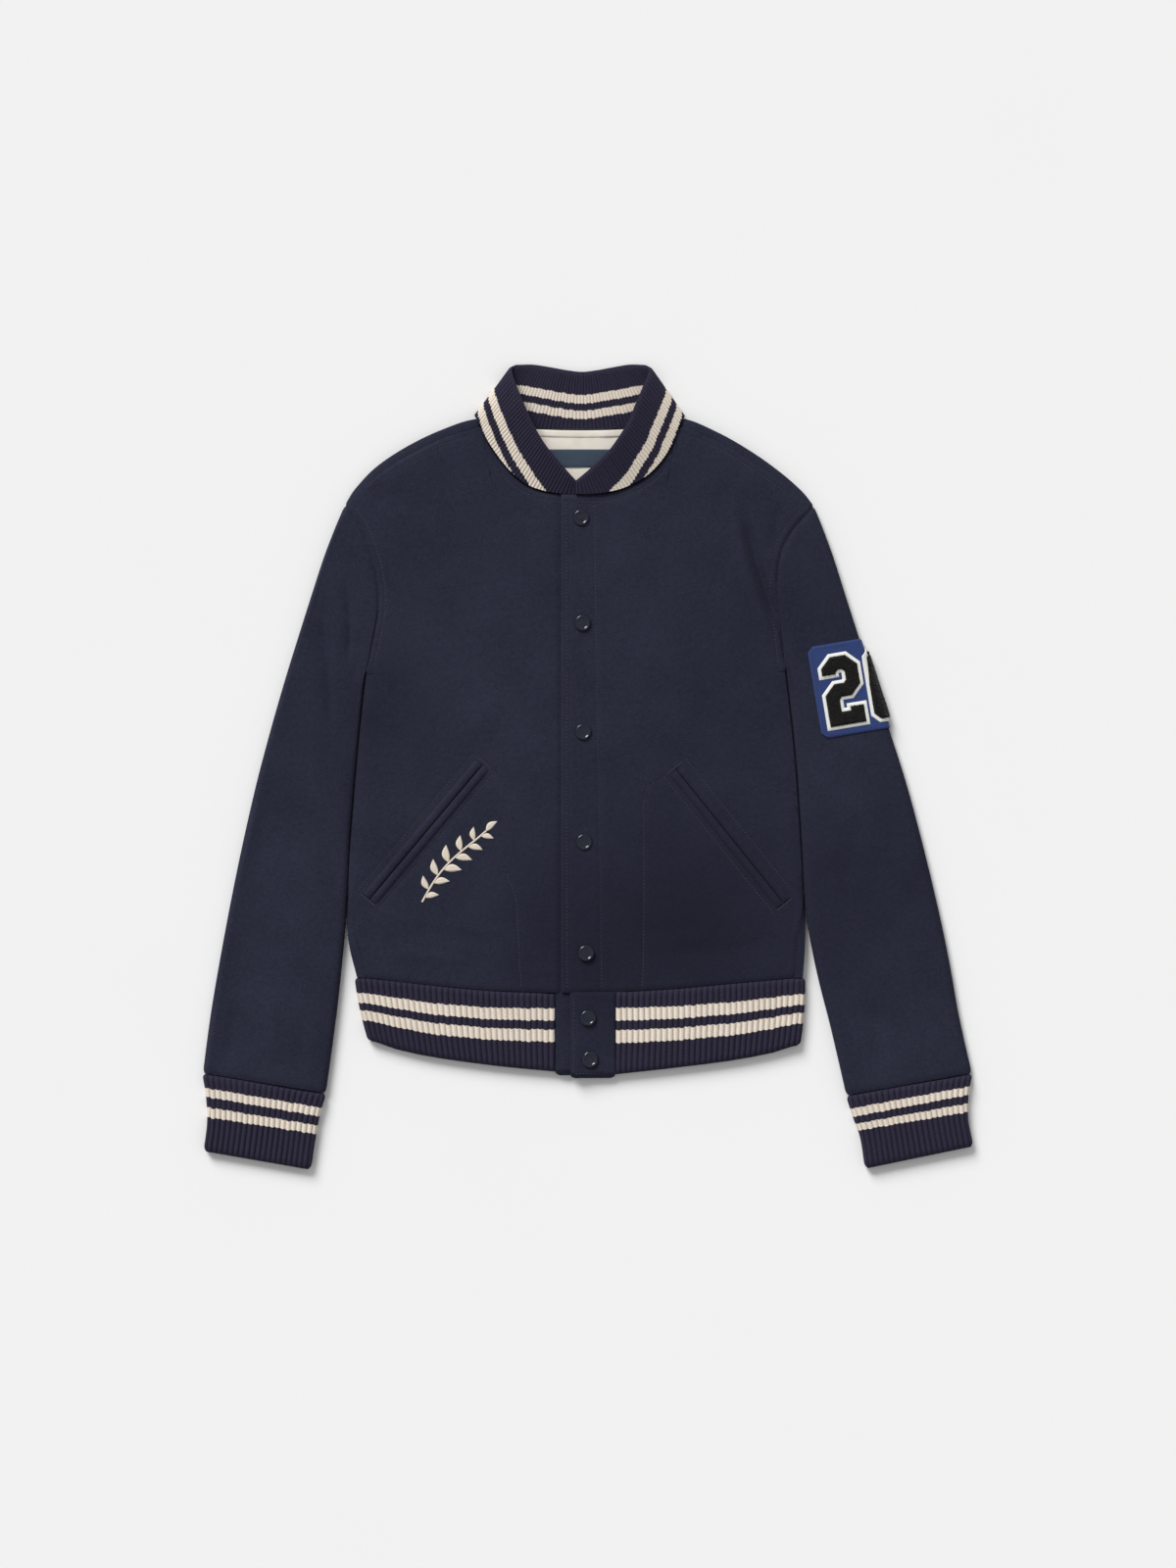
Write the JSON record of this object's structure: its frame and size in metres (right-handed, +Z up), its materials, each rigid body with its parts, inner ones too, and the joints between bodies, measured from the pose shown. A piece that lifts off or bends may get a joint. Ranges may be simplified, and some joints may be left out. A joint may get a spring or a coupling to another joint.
{
  "type": "varsity jacket",
  "caption": "Wool varsity jacket closed and laid flat on its back, with rib-knit collar, cuffs and hem, snap front, slanted welt pockets and a number patch on one sleeve.",
  "frame": {"origin": "bottom centre of the box round the whole jacket, on the surface it lies on", "axes": "+Y from the hem to the collar, +Z up out of the front, -X to the wearer's right"},
  "size_m": [0.7068, 0.7389, 0.0212],
  "materials": {
    "wool": "milled wool cloth with a short nap, navy",
    "rib": "rib-knit wool, navy with cream stripes",
    "lining": "smooth satin lining, cream",
    "label": "woven label, slate blue, bare",
    "snap": "enamelled cap, navy",
    "felt": "pressed felt, blue",
    "edging": "pressed felt, white",
    "chenille": "looped chenille pile, black"
  },
  "bodies": {
    "root": {"back": "wool", "right_front": "wool", "left_front": "wool", "right_sleeve": "wool", "left_sleeve": "wool", "right_cuff": "rib", "left_cuff": "rib", "hem_rib": "rib", "left_hem_tab": "wool", "right_hem_tab": "wool", "collar": "rib", "neck_lining": "lining", "neck_tape": "lining", "label": "label", "right_pocket_outer_welt": "wool", "right_pocket_inner_welt": "wool", "left_pocket_outer_welt": "wool", "left_pocket_inner_welt": "wool", "snap_1": "snap", "snap_2": "snap", "snap_3": "snap", "snap_4": "snap", "snap_5": "snap", "snap_6": "snap", "snap_7": "snap", "patch_felt": "felt", "two_edging": "edging", "two_chenille": "chenille", "six_edging": "edging", "six_chenille": "chenille"}
  },
  "joints": []
}
